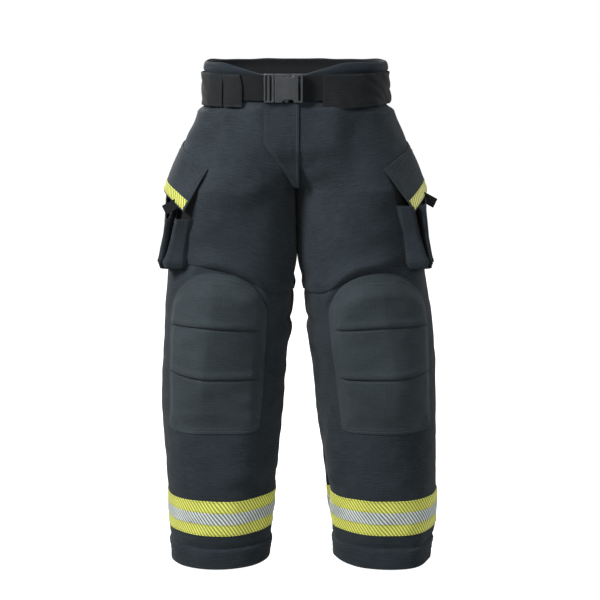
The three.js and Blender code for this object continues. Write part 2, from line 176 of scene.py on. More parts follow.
def folds(side, u, z):
    """How far the draped cloth stands off the plain surface."""
    seed = 11 if side < 0 else 23
    across = np.asarray(u) * GIRTH
    settled = smooth(z, -34, -90)  # nothing moves under the belt
    seam = np.where(z > CROTCH - 30, smooth(np.sin(math.pi * u), 0.02, 0.3), 1.0)
    x = np.abs(skin(side, u, z)[..., 0])
    under_fly = 1 - (1 - smooth(x, 62, 96)) * smooth(z, -190, -130) * (np.asarray(u) < 0.5)
    broad = 2.9 * ripple(across / 150, z / 230, seed)
    fine = 0.7 * ripple(across / 70, z / 48, seed + 1)
    # Creases that run out and down from the crotch.
    reach = np.hypot(x - 4, z - CROTCH)
    aim = np.arctan2(z - CROTCH, x - 4)
    near = np.exp(-reach / 90) * smooth(reach, 10, 50)
    crotch = 4.0 * near * np.sin(aim * 6.0 + reach / 34 + side)
    # The upper leg settles into a soft roll above the knee panel.
    above = z - panel_seam(u)
    roll = 4.8 * bump(above, 14, 12) - 2.6 * bump(above, 46, 18)
    front_roll = bump(u, 0.24, 0.12)
    roll = roll * np.maximum(front_roll, 0.35 + 0.45 * np.sin(TAU * u * 2 + 1.0))
    inner = bump((u + 0.5) % 1 - 0.5, 0.02, 0.10)
    roll = roll + inner * (2.6 * bump(z, -516, 18) - 4.5 * bump(z, -486, 9))
    # Slack at the back of the knee and above the trim.
    back = smooth(np.sin(math.pi * (u - 0.25)), 0.6, 1.0)
    slack = 2.8 * back * np.sin(z / 15.0 + 3 * u) * bump(z, -545, 95)
    ankle = 2.6 * np.sin(z / 13.0 + 9 * u + side) * bump(z, -815, 42) * bump(u % 1, 0.04, 0.22)
    hem = 1.5 * np.sin(TAU * (3 * u + 0.1 * side)) * smooth(z, -880, -1000)
    hem = hem - 6.0 * bump(u, 0.5, 0.14) * smooth(z, -930, -1005)
    cuff = -3.4 * bump(z, CUFF_TOP + 4, 5)
    moved = settled * seam * under_fly * (broad + fine + crotch + roll + slack + ankle)
    from_front = np.minimum(2 * np.asarray(u), 1)
    return pinch(from_front, z) + moved + dome_crease(u, z) + hem + cuff


def panel_seam(u):
    """Height of the upper panel's lower edge, which follows the knee panel's dome inside."""
    marks = [0, 0.146, 0.165, 0.225, 0.26, 0.30, 0.36, 0.42, 0.6, 0.85, 1]
    heights = [-425, -418, -406, -380, -368, -360, -357, -357, -362, -405, -425]
    spread = np.linspace(-0.025, 0.025, 9)
    around = (np.asarray(u, float)[..., None] + spread) % 1.0
    return np.interp(around, marks, heights).mean(-1)


def dome(t):
    """The upper edge of the knee panel, across from -1 to 1."""
    return KNEE_TOP - 98 * (1 - (1 - unit(np.abs(t)) ** 2.15) ** 0.62)


def dome_crease(u, z):
    """Cloth sinks beside the knee panel's dome on the inner side and swells beyond it."""
    t = (np.asarray(u) - PATCH_MIDDLE) / PATCH_HALF
    edge = mix(KNEE_TOP, KNEE_TOP - 80, np.clip(np.abs(t), 0, 1.2) ** 2.4)
    above = z - edge
    inner = smooth(t, 0.55, 0.1) * smooth(t, -1.25, -0.75)
    return inner * (3.4 * bump(above, 22, 10) - 3.2 * bump(above, 5, 6))


def closed_in(side, u, z, p):
    """Below the crotch the inner legs press flat together before they part."""
    low = np.minimum(z, CROTCH)
    gap = np.abs(p[..., 0])
    wanted = (station(LEG, low, 1) + 0.6) * smooth(z, -410, -340) * smooth(z, -90, -150)
    hold = np.exp(-np.maximum(gap - station(LEG, low, 1), 0) / 26)
    return np.minimum(gap, wanted * hold)


def surface(side, u, z, height=0.0):
    """A point on the draped cloth, height millimetres above it."""
    p = skin(side, u, z)
    n = normal(side, u, z)
    drawn = closed_in(side, u, z, p)
    pressed = unit(drawn / 3.0)
    p[..., 0] -= side * drawn
    p = p + n * (folds(side, u, z) * (1 - pressed) + height)[..., None]
    p[..., 0] = side * np.maximum(TOUCH, p[..., 0] * side) + lean(z)
    # The front lies against the plane of the zip, and on the left level with the fly flap.
    level = 0.8 - (FLY_STAND * smooth(p[..., 0], 3, 11) if side > 0 else 0) * smooth(z, -30, -44)
    fly_plane = ZIP_FRONT - ZIP_LEAN * (ZIP_TOP - z) + level - height
    held = (1 - smooth(np.abs(p[..., 0]), 72, 120)) * smooth(z, -150, -112) * (np.asarray(u) < 0.5)
    held = held * (1 - smooth(z, -42, -24))
    p[..., 1] = mix(p[..., 1], np.minimum(p[..., 1], fly_plane), held)
    p[..., 2] += hang(u) * smooth(z, -780, -940)
    return p


def hang(u):
    """The hem hangs low at the front and is drawn up on the inner side."""
    around = np.asarray(u) % 1.0
    return (-3.0 * bump(around, 0.25, 0.16) + 3.5 * bump(around, 0.5, 0.12) + 9.0 * np.maximum(
        bump(around, 0, 0.14), bump(around, 1, 0.2)))


def lean(z):
    """The legs hang a little towards the wearer's left as they go down."""
    return 13.5 * unit((-250 - np.asarray(z)) / 750) ** 0.85


def hoop(t, z, height=0.0, free=False):
    """Round the waist: t = 0 is the front centre, 0.25 the left, 0.5 the back, 0.75 the right.
    free leaves out the pinch of the belt."""
    t, z = np.broadcast_arrays(np.asarray(t, float) % 1.0, np.asarray(z, float))
    side = np.where(t <= 0.5, 1, -1)
    u = np.where(t <= 0.5, 2 * t, 2 * (1 - t))
    from_front = 4 * np.minimum(t, 1 - t)
    raised = np.broadcast_to(height, t.shape) + (0 if free else pinch(np.minimum(from_front, 1), z))
    left = skin(1, u, z) + normal(1, u, z) * raised[..., None]
    p = left * np.stack([side, np.ones_like(side), np.ones_like(side)], -1)
    centre = (t == 0) | (t == 0.5)
    p[..., 0] = np.where(centre, 0, p[..., 0])
    return p


def rim_top(t):
    """The waistband's top edge, which dips at the front centre."""
    from_front = np.minimum(t % 1, 1 - t % 1) * 4
    rise = np.where(t % 1 < 0.5, smooth(from_front, 0.12, 0.58), smooth(from_front, 0.34, 0.74))
    return mix(RIM_FRONT, RIM, rise)


# ---- Meshes
def new_mesh(name, points, faces, uv):
    """An object from points in millimetres, faces and one cloth coordinate per point."""
    mesh = bpy.data.meshes.new(name)
    mesh.from_pydata((np.asarray(points, float) * MM).tolist(), [], faces)
    mesh.update()
    mesh.uv_layers.new(name="cloth")
    lay_cloth(mesh, np.asarray(uv))
    soften(mesh, 50)
    obj = bpy.data.objects.new(name, mesh)
    bpy.context.collection.objects.link(obj)
    return obj


def sheet(name, place, ts, vs, low, high, ring=False, uv=(1.0, 1.0), edge=0.8):
    """Cloth with thickness: place(t, v, height) over the grid ts by vs, from height low to
    high, with rounded edges. ts and vs are arrays, or the two ends and a count. ring joins the
    last t to the first. uv scales t and v to metres."""
    ts, vs = (np.linspace(*s) if isinstance(s, tuple) else s for s in (ts, vs))
    step = np.sign(vs[-1] - vs[0]) * edge
    middle = (low + high) / 2
    rows = [(v, high) for v in vs] + [(vs[-1] + step, middle)]
    rows += [(v, low) for v in vs[::-1]] + [(vs[0] - step, middle)]
    v_list = np.array([r[0] for r in rows])
    h_list = np.array([r[1] for r in rows])
    t_list = ts[:-1] if ring else ts
    t_grid, v_grid = np.meshgrid(t_list, v_list, indexing="ij")
    h_grid = np.broadcast_to(h_list, t_grid.shape)
    points = place(t_grid, v_grid, h_grid).reshape(-1, 3)
    n_t, n_v = t_grid.shape
    i = np.arange(n_t if ring else n_t - 1)
    j = np.arange(n_v)
    a_i, a_j = np.meshgrid(i, j, indexing="ij")
    b_i, b_j = (a_i + 1) % n_t, (a_j + 1) % n_v
    quads = np.stack([a_i * n_v + a_j, b_i * n_v + a_j, b_i * n_v + b_j, a_i * n_v + b_j], -1)
    faces = quads.reshape(-1, 4).tolist()
    if not ring:
        k = len(vs)
        for base, flip in ((0, False), ((n_t - 1) * n_v, True)):
            for m in range(k - 1):
                quad = [base + m, base + m + 1, base + n_v - 2 - m - 1, base + n_v - 2 - m]
                faces.append(quad[::-1] if flip else quad)
            for tri in ([base + k - 1, base + k, base + k + 1], [base + 0, base + n_v - 2, base + n_v - 1]):
                faces.append(tri[::-1] if flip else tri)
    coords = np.stack([t_grid * uv[0], v_grid * uv[1]], -1).reshape(-1, 2)
    obj = new_mesh(name, points, faces, coords)
    face_out(obj)
    return obj


def face_out(obj):
    """Turns a closed mesh so that its faces point out."""
    mesh = obj.data
    mesh.calc_loop_triangles()
    tri = np.empty(len(mesh.loop_triangles) * 3, np.int32)
    mesh.loop_triangles.foreach_get("vertices", tri)
    a, b, c = np.moveaxis(points_of(mesh)[tri.reshape(-1, 3)], 1, 0)
    if np.einsum("ij,ij->i", a, np.cross(b, c)).sum() < 0:
        mesh.flip_normals()


def lay_cloth(mesh, coords):
    """Cloth coordinates from one pair for each point."""
    corner = np.empty(len(mesh.loops), np.int32)
    mesh.loops.foreach_get("vertex_index", corner)
    mesh.uv_layers["cloth"].data.foreach_set("uv", coords.astype(np.float32)[corner].ravel())


def soften(mesh, angle):
    """Smooth shading, with the edges over angle degrees left sharp."""
    mesh.shade_smooth()
    mesh.set_sharp_from_angle(angle=math.radians(angle))


def points_of(mesh):
    co = np.empty(len(mesh.vertices) * 3)
    mesh.vertices.foreach_get("co", co)
    return co.reshape(-1, 3)


def select(objects):
    bpy.ops.object.select_all(action="DESELECT")
    for obj in objects:
        obj.select_set(True)
    bpy.context.view_layer.objects.active = objects[0]


def join(name, parts):
    """One object from several, keeping their cloth coordinates and materials."""
    select(parts)
    bpy.ops.object.join()
    parts[0].name = parts[0].data.name = name
    return parts[0]


# ---- Stitching
STITCH, STITCH_GAP, THREAD = 3.4, 1.2, 0.55


def stitches(path, radius=THREAD, pitch=STITCH + STITCH_GAP, length=STITCH):
    """Points and faces of thread stitches along a dense path of points."""
    path = np.asarray(path, float)
    gaps = np.linalg.norm(np.diff(path, axis=0), axis=1)
    run = np.concatenate([[0], np.cumsum(gaps)])
    count = max(1, int(run[-1] // pitch))
    starts = np.arange(count) * run[-1] / count
    head, tail = (np.stack([np.interp(at, run, path[:, k]) for k in range(3)], -1)
        for at in (starts, starts + length))
    axis = tail - head
    size = np.maximum(np.linalg.norm(axis, axis=1, keepdims=True), 1e-6)
    axis = axis / size
    spare = np.where(np.abs(axis[:, 2:3]) < 0.8, [[0, 0, 1.0]], [[1.0, 0, 0]])
    first = np.cross(axis, spare)
    first /= np.linalg.norm(first, axis=1, keepdims=True)
    second = np.cross(axis, first)
    sides = 6
    angle = np.arange(sides) * TAU / sides
    ring = first[:, None] * np.cos(angle)[None, :, None] + second[:, None] * np.sin(angle)[None, :, None]
    points, faces = [], []
    for k in range(count):
        base = len(points)
        points.append(head[k])
        for share in (0.2, 0.8):
            points.extend(mix(head[k], tail[k], share) + ring[k] * radius)
        points.append(tail[k])
        for m in range(sides):
            n = (m + 1) % sides
            faces.append([base, base + 1 + n, base + 1 + m])
            faces.append([base + 1 + m, base + 1 + n, base + 1 + sides + n, base + 1 + sides + m])
            faces.append([base + 1 + sides + m, base + 1 + sides + n, base + 1 + 2 * sides])
    return points, faces


def stitched(name, paths, **kw):
    """One thread object along several paths."""
    points, faces = [], []
    for path in paths:
        p, f = stitches(path, **kw)
        base = len(points)
        points.extend(p)
        faces.extend([[base + i for i in face] for face in f])
    return new_mesh(name, points, faces, np.zeros((len(points), 2)))


# ---- Materials
class Nodes:
    """Short names for the nodes that the materials use."""

    def __init__(self, tree):
        self.tree = tree

    def feed(self, node, inputs):
        """Links or sets inputs of a node."""
        for key, value in inputs.items():
            if isinstance(value, bpy.types.NodeSocket):
                self.tree.links.new(value, node.inputs[key])
            else:
                node.inputs[key].default_value = value

    def node(self, kind, inputs, **settings):
        made = self.tree.nodes.new(kind)
        for key, value in settings.items():
            setattr(made, key, value)
        self.feed(made, inputs)
        return made

    def math(self, op, a, b=0.0, clamp=False):
        return self.node("ShaderNodeMath", {0: a, 1: b}, operation=op, use_clamp=clamp).outputs[0]

    def add(self, a, b, clamp=False):
        return self.math("ADD", a, b, clamp)

    def times(self, a, b):
        return self.math("MULTIPLY", a, b)

    def wave(self, value, pitch):
        return self.math("SINE", self.times(value, TAU / pitch))

    def stripe(self, value, pitch, width):
        """1 on a line that crosses the cloth each pitch metres along value."""
        return self.math("LESS_THAN", self.math("FRACT", self.math("DIVIDE", value, pitch)), width / pitch)

    def cloth(self):
        return self.node("ShaderNodeUVMap", {}, uv_map="cloth").outputs["UV"]

    def split(self, vector):
        made = self.node("ShaderNodeSeparateXYZ", {0: vector})
        return made.outputs[0], made.outputs[1]

    def weave(self, pitch):
        """Height of a plain weave with one thread each pitch metres, both ways."""
        x, y = self.split(self.cloth())
        return self.times(self.wave(x, pitch), self.wave(y, pitch))

    def noise(self, vector, scale, detail=2.0, rough=0.5):
        place = self.node("ShaderNodeMapping", {"Vector": vector, "Scale": scale}).outputs["Vector"]
        inputs = {"Vector": place, "Scale": 1.0, "Detail": detail, "Roughness": rough}
        return self.node("ShaderNodeTexNoise", inputs).outputs["Fac"]

    def remap(self, value, low, high, to_low, to_high):
        inputs = {"Value": value, "From Min": low, "From Max": high, "To Min": to_low, "To Max": to_high}
        return self.node("ShaderNodeMapRange", inputs).outputs["Result"]

    def mix(self, factor, a, b):
        return self.node("ShaderNodeMix", {0: factor, 6: a, 7: b}, data_type="RGBA").outputs[2]

    def bump(self, height, strength, distance):
        inputs = {"Height": height, "Strength": strength, "Distance": distance}
        return self.node("ShaderNodeBump", inputs).outputs["Normal"]

    def camera_ray(self):
        return self.node("ShaderNodeLightPath", {}).outputs["Is Camera Ray"]


def rgb(r, g, b):
    return (r, g, b, 1.0)


def new_material(name):
    """A material with one shader, the helper for its nodes, and the shader."""
    mat = bpy.data.materials.new(name)
    mat.use_nodes = True
    n = Nodes(mat.node_tree)
    n.tree.nodes.clear()
    shader = n.node("ShaderNodeBsdfPrincipled", {})
    n.node("ShaderNodeOutputMaterial", {"Surface": shader.outputs["BSDF"]})
    return mat, n, shader


def cloth_material(name, base, light, pitch, grid, grid_width, rough, streak=0.5):
    """Woven cloth: thread relief, a ripstop grid, horizontal streaks and soft soiling."""
    mat, n, shader = new_material(name)
    uv = n.cloth()
    streaks = n.noise(uv, (60, 900, 1), 3.0, 0.6)
    slubs = n.noise(uv, (30, 430, 1), 4.0, 0.65)
    mottled = n.noise(uv, (9, 9, 1), 4.0, 0.55)
    worn = n.noise(uv, (240, 240, 1), 3.0, 0.6)
    lines = n.math("MAXIMUM", *(n.stripe(way, grid, grid_width) for way in n.split(uv)))
    shade = n.add(n.remap(streaks, 0.3, 0.7, 0.0, streak), n.remap(mottled, 0.3, 0.7, 0.0, 0.45))
    shade = n.add(shade, n.remap(slubs, 0.3, 0.7, -0.45 * streak, 0.45 * streak))
    shade = n.add(shade, n.times(lines, 0.10))
    shade = n.add(shade, n.remap(worn, 0.35, 0.75, -0.08, 0.14), clamp=True)
    relief = n.add(n.times(n.weave(pitch), 0.5), n.times(lines, 0.9))
    relief = n.add(relief, n.times(streaks, 1.2))
    n.feed(shader, {
        "Base Color": n.mix(shade, base, light),
        "Roughness": n.remap(mottled, 0.3, 0.7, rough - 0.05, rough + 0.06),
        "Normal": n.bump(relief, 0.55, 0.00035),
        "Sheen Weight": 0.04, "Sheen Roughness": 0.55, "Specular IOR Level": 0.18})
    return mat


def webbing_material(name, base, light):
    """Herringbone webbing: diagonal ribs that turn at each row."""
    mat, n, shader = new_material(name)
    uv = n.cloth()
    x, y = n.split(uv)
    ribs = n.wave(n.add(x, n.math("PINGPONG", y, 0.0035)), 0.0016)
    fine = n.noise(uv, (700, 700, 1))
    mottled = n.noise(uv, (30, 30, 1), 3.0)
    shade = n.add(n.remap(ribs, -1, 1, 0.0, 0.45), n.remap(mottled, 0.3, 0.7, 0, 0.5), clamp=True)
    n.feed(shader, {
        "Base Color": n.mix(shade, base, light), "Roughness": 0.8, "Specular IOR Level": 0.2,
        "Normal": n.bump(n.add(ribs, n.times(fine, 0.8)), 0.5, 0.0003)})
    return mat


def hatch_material(name, base, line, pitch, width, rough, metallic=0.0, painted_glow=0.0):
    """Trim tape with slanting printed lines over a fine prism grid. Fluorescent tape gets a painted glow:
    emission that shines without a lamp.
    """
    mat, n, shader = new_material(name)
    uv = n.cloth()
    x, y = n.split(uv)
    lines = n.stripe(n.add(x, n.times(y, 0.62)), pitch, width)
    soil = n.noise(uv, (25, 25, 1), 4.0)
    dirty = n.mix(n.remap(soil, 0.4, 0.8, 0.0, 0.25), base, line)
    shade = n.mix(lines, dirty, line)
    relief = n.add(n.times(n.weave(0.0022), 0.3), n.times(lines, 0.8))
    # The emission is a painted glow: the tape shines without any lamp on it.
    n.feed(shader, {
        "Base Color": shade, "Emission Color": shade, "Emission Strength": painted_glow,
        "Roughness": n.remap(lines, 0, 1, rough, 0.7), "Metallic": metallic,
        "Normal": n.bump(relief, 0.4, 0.0003)})
    return mat


def plastic_material(name, base, rough):
    """Moulded plastic with a fine spark-eroded grain and rubbed patches."""
    mat, n, shader = new_material(name)
    place = n.node("ShaderNodeTexCoord", {}).outputs["Object"]
    grain = n.noise(place, (1800, 1800, 1800))
    wear = n.noise(place, (60, 60, 60), 4.0)
    lighter = rgb(*(min(1, c * 1.5 + 0.01) for c in base[:3]))
    n.feed(shader, {
        "Base Color": n.mix(n.remap(wear, 0.45, 0.75, 0.0, 0.6), base, lighter),
        "Roughness": n.remap(wear, 0.3, 0.7, rough - 0.06, rough + 0.1),
        "Normal": n.bump(grain, 0.35, 0.0002)})
    return mat


def quilt_material(name, base, light, pitch):
    """Quilted lining: puffed diamonds between lines of stitching, with painted shade that darkens the
    stitched valleys and lightens the puffs.
    """
    mat, n, shader = new_material(name)
    uv = n.cloth()
    x, y = n.split(uv)
    ways = [n.math("ABSOLUTE", n.wave(n.add(x, n.times(y, sign)), 2 * pitch)) for sign in (1.0, -1.0)]
    puff = n.math("POWER", n.math("MINIMUM", *ways), 0.5)
    fine = n.noise(uv, (500, 500, 1), 3.0)
    # The colour follows the puff's height: painted shade in the valleys, painted light on the puffs.
    n.feed(shader, {
        "Base Color": n.mix(puff, base, light), "Roughness": 0.9, "Sheen Weight": 0.2,
        "Normal": n.bump(n.add(puff, n.times(fine, 0.1)), 0.8, 0.002)})
    return mat


SHELL = cloth_material("shell_ripstop", rgb(0.0079, 0.0114, 0.0147), rgb(0.0286, 0.0386, 0.0470),
                       0.0011, 0.0062, 0.0009, 0.93)
BAND = cloth_material("band_twill", rgb(0.006, 0.010, 0.014), rgb(0.018, 0.026, 0.035),
                      0.0009, 0.0040, 0.0005, 0.88, 0.3)
PATCH = cloth_material("patch_coated_weave", rgb(0.017, 0.0235, 0.0270), rgb(0.045, 0.0600, 0.0665),
    0.0019, 0.0057, 0.0006, 0.88, 0.25)
BLACK = cloth_material("facing_black", rgb(0.0030, 0.0036, 0.0042), rgb(0.0100, 0.0110, 0.0125),
                       0.0012, 0.0060, 0.0006, 0.9, 0.3)
WEBBING = webbing_material("webbing_herringbone", rgb(0.0028, 0.0037, 0.0044), rgb(0.0081, 0.0104, 0.0118))
TUNNEL = cloth_material("tunnel_black", rgb(0.0043, 0.0052, 0.0058), rgb(0.0137, 0.0160, 0.0176),
                        0.0016, 0.0048, 0.0006, 0.85, 0.3)
# Both yellow tapes carry a painted glow from emission.
YELLOW = hatch_material("trim_fluorescent", rgb(0.62, 0.65, 0.12), rgb(0.18, 0.18, 0.024),
                        0.0068, 0.0027, 0.5, painted_glow=0.19)
# The flap's stripe is the trim tape made darker, painted shade against the key light that falls straight on
# it, with a stronger painted glow.
FLAP_YELLOW_SHADED = hatch_material("flap_fluorescent", rgb(0.46, 0.48, 0.095), rgb(0.12, 0.115, 0.014),
                             0.0066, 0.0026, 0.6, painted_glow=0.30)
SILVER = hatch_material("trim_reflective", rgb(0.72, 0.77, 0.72), rgb(0.10, 0.125, 0.15),
                        0.0068, 0.0028, 0.38, 0.15)
PLASTIC = plastic_material("buckle_plastic", rgb(0.019, 0.022, 0.025), 0.56)
BRASS = plastic_material("zip_metal", rgb(0.30, 0.21, 0.08), 0.35)
THREAD_DARK = plastic_material("thread_slate", rgb(0.018, 0.023, 0.028), 0.85)
THREAD_PATCH = plastic_material("thread_grey", rgb(0.046, 0.058, 0.062), 0.85)
QUILT = quilt_material("liner_quilt", rgb(0.012, 0.013, 0.015), rgb(0.045, 0.047, 0.052), 0.05)


def finish(obj, mat, where, nodes=None):
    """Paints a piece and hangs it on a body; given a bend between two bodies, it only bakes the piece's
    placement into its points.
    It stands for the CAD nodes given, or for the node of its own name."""
    obj.data.materials.clear()
    obj.data.materials.append(mat)
    if isinstance(where, tuple):
        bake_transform(obj)
    else:
        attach(obj, where)
    if nodes is None:
        nodes = [obj.name.partition(".")[0]]  # Blender numbers a name that the frame has too
    if nodes:
        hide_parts(*nodes)
    return obj


def sew(name, paths, mat, slot, where, **kw):
    """A row of stitches, which no CAD node stands for."""
    finish(stitched(name, paths, **kw), mat, where, ())


# ---- Bodies and axes of the joints that pieces span; finish only bakes these pieces in place
HIP_TURN, HIP_REACH = (0.64, -0.77), 0.105
KNEE_X, KNEE_START, KNEE_END = 0.155, -0.452, -0.628
FLY_PIVOT, FLY_TURN, FLY_REACH = (-0.065, -0.1435, -0.120), (0.77, 0, 0.64), 0.050


def hip_bend(name, side):
    """Bodies and axis for the hip panels, from the waist to the thigh, out and down from the crotch."""
    start = Vector((0, 0, CROTCH * MM))
    direction = Vector((side * HIP_TURN[0], 0, HIP_TURN[1])).normalized()
    return ("waist", "thigh_" + name, start, start + direction * HIP_REACH)


def knee_bend(name, side):
    start, end = (Vector((side * KNEE_X, 0, z)) for z in (KNEE_START, KNEE_END))
    return ("thigh_" + name, "shin_" + name, start, end)


# ---- Shell
def build_shell(name, side):
    cols = (0, 1, 169)

    def upper_place(u, v, h):
        return surface(side, u, mix(BAND_BOTTOM - 1, panel_seam(u), v), h)

    finish(sheet("upper_panel_" + name, upper_place, cols, (0, 1, 96), -CLOTH, 0.0,
        uv=(side * GIRTH * MM, 0.394), edge=0.002), SHELL, hip_bend(name, side),
        ["hip_shell_" + name, "hip_crease_" + name, "thigh_shell_" + name])

    def lower_place(u, v, h):
        seam = panel_seam(u)
        z = mix(seam + 10, HEM + 4, v)
        sunk = mix(2.6, 4.0, bump(u, 0.24, 0.15)) * smooth(z, seam - 12, seam + 2)
        return surface(side, u, z, h - sunk)

    finish(sheet("lower_panel_" + name, lower_place, cols, (0, 1, 140), -CLOTH, 0.0, ring=True,
        uv=(side * GIRTH * MM, 0.642), edge=0.002), SHELL, knee_bend(name, side),
        ["knee_band_" + name, "shin_shell_" + name])


LINER_IN, LINER_OUT = -10.0, -6.6
LINER_JOIN = -372


def build_liner(name, side):
    cols = (0, 1, 97)
    place = partial(surface, side)
    finish(sheet("liner_upper_" + name, place, cols, (BAND_BOTTOM - 4, LINER_JOIN + 4, 50), LINER_IN,
        LINER_OUT, uv=(GIRTH * MM, MM)), QUILT, hip_bend(name, side),
        ["hip_liner_" + name, "thigh_liner_" + name])
    finish(sheet("liner_lower_" + name, place, cols, (LINER_JOIN - 6, HEM + 55, 74), LINER_IN, LINER_OUT,
        ring=True, uv=(GIRTH * MM, MM)), QUILT, knee_bend(name, side), ["shin_liner_" + name])


# ---- Knee patch
# Each dart: height at the ridge, then how much higher its outer and inner ends are.
DARTS = ((-483, -4, -12), (-592, 8, -4))


def patch_place(side):
    """The patch over its own square: t from -1, inner, to 1, outer, and v from 0, top, to 1."""

    def place(t, v, h):
        z = mix(dome(t), mix(KNEE_BOTTOM, KNEE_BOTTOM + 9, np.abs(t) ** 8), v)
        narrow = np.where(t > 0, 0.94, 1.01) - 0.025 * smooth(z, -560, KNEE_BOTTOM)
        u = PATCH_MIDDLE + PATCH_HALF * t * narrow
        # The patch is pressed into a soft upright edge.
        ridge_at = mix(-0.06, 0.02, smooth(z, -430, -600))
        edge = np.minimum(1 - np.abs(t), np.minimum(v, 1 - v) * 2.2)
        puff = smooth(edge, 0.0, 0.30)
        pad = 5.5 * puff
        for height, outer_rise, inner_rise in DARTS:
            line = height + np.where(t > ridge_at, outer_rise * (t - ridge_at) / (1 - ridge_at),
                inner_rise * (ridge_at - t) / (1 + ridge_at))
            across = smooth(0.97 - np.abs(t), 0.0, 0.14)
            below = z - line
            pad = pad * (1 - across * bump(below, 0, 2.4))
            pad = pad + across * puff * 2.6 * bump(below, 9, 8.0)
        tent = 1 - np.sqrt(((t - ridge_at) / 0.98) ** 2 + 0.0008)
        ridge = 19.0 * unit(tent) * puff * smooth(z, KNEE_BOTTOM, -600)
        return surface(side, u, z, h + pad + ridge)

    return place


def build_knee(name, side):
    place = patch_place(side)
    patch = sheet("knee_patch_" + name, place, (-1, 1, 92), (0, 1, 230), 0.3, 2.2, uv=(0.106, 0.324),
        edge=0.002)
    parts = [f"knee_patch_{part}_{name}" for part in ("upper", "middle", "lower")]
    finish(patch, PATCH, knee_bend(name, side), parts + ["knee_pad_" + name])
    paths = []
    for inset in (0.035, 0.085):
        edge, top, low = 1 - inset, inset * 0.55, 1 - inset * 0.4
        down, along = np.linspace(top, low, 260), np.linspace(-edge, edge, 160)
        paths += [place(t, down, 2.3) for t in (-edge, edge)] + [place(along, v, 2.3) for v in (top, low)]
    sew("knee_stitching_" + name, paths, THREAD_PATCH, "patch", knee_bend(name, side))


# ---- Trim, cuff
def build_hem(name, side):
    cols = (0, 1, 145)
    shin = "shin_" + name
    place = partial(surface, side)
    third = TRIM_WIDTH / 3
    round_leg = side * GIRTH * 0.92 * MM
    finish(sheet("leg_trim_" + name, place, cols, (TRIM_TOP, TRIM_TOP - TRIM_WIDTH, 12), 0.3, 1.3,
        ring=True, uv=(round_leg, MM), edge=0.3), YELLOW, shin)
    finish(sheet("reflective_stripe_" + name, place, cols, (TRIM_TOP - third, TRIM_TOP - 2 * third, 6),
        1.5, 2.1, ring=True, uv=(round_leg, MM), edge=0.2), SILVER, shin)
    finish(sheet("cuff_" + name, place, cols, (CUFF_TOP, HEM, 14), -2.9, 2.6, ring=True,
        uv=(GIRTH * MM, MM), edge=1.2), SHELL, shin)
    u = np.linspace(0, 1, 600)
    rows = [TRIM_TOP - 3, TRIM_TOP - TRIM_WIDTH + 3, TRIM_TOP - third + 1.5, TRIM_TOP - 2 * third - 1.5]
    sew("trim_stitching_" + name, [place(u, z, 1.4) for z in rows], YELLOW, "fluorescent", shin, radius=0.4)
    hem_rows = [CUFF_TOP - 4, CUFF_TOP - 10, CUFF_TOP - 24, HEM + 9, HEM + 4]
    sew("hem_stitching_" + name, [place(u, z, 2.7) for z in hem_rows], THREAD_DARK, "shell", shin)


# ---- Waist
def build_waist():
    cols = (0, 1, 256)

    def roll(t, v, h):
        """The band is a soft folded roll: out and up the front, over the rim, and down inside."""
        top = rim_top(t) - 1.5
        z = mix(BAND_BOTTOM - 3, top, v)
        wave = 1.1 * np.sin(TAU * 7 * t + 1.3) + 0.5 * np.sin(TAU * 17 * t + 1)
        quiet = smooth(np.minimum(t % 0.5, 0.5 - t % 0.5), 0.03, 0.12)
        soft = wave * quiet * smooth(v, 0.2, 1.0)
        fat = 3.4 * arch(v) ** 0.7
        return hoop(t, z + 0.8 * soft * quiet, h + soft + fat)

    finish(sheet("waistband", roll, cols, (0, 1, 12), -3.2, 0.6, ring=True, uv=(WAIST_GIRTH, 0.03),
        edge=0.05), BAND, "waist")

    def inside(t, v, h):
        return hoop(t, mix(rim_top(t) - 2.5, -40, v), h)

    facing = sheet("waist_facing", inside, cols, (0, 1, 16), -6.2, -3.8, ring=True,
        uv=(WAIST_GIRTH, 0.09), edge=0.01)
    finish(facing, BLACK, "waist")
    t = np.linspace(0, 1, 1100)
    paths = [hoop(t, rim_top(t) - 5.5, 1.9), hoop(t, -30, -3.9)]
    sew("waist_stitching", paths, THREAD_DARK, "band", "waist")


# ---- Belt
BELT_FRONT = -134
BELT_HALF = 25


def belt_point(t, z, height):
    """The belt hangs straighter than the hips and is flat across the front."""
    t = np.asarray(t) % 1.0
    from_front = 4 * np.minimum(t, 1 - t)
    p = hoop(t, np.asarray(z) * 0.25, mix(4.0, -4.5, smooth(from_front, 0.35, 0.9)) + height, free=True)
    p[..., 2] = z
    p[..., 1] = np.maximum(p[..., 1], BELT_FRONT - height)
    return p


def belt_at(x, back=False):
    """The place round the belt of a point on the front, or on the back, at x."""
    ts = np.linspace(0, 0.25, 400)
    t = float(np.interp(abs(x), belt_point(ts, 0 * ts, 0)[:, 0], ts))
    t = 0.5 - t if back else t
    return 1 - t if x < 0 else t


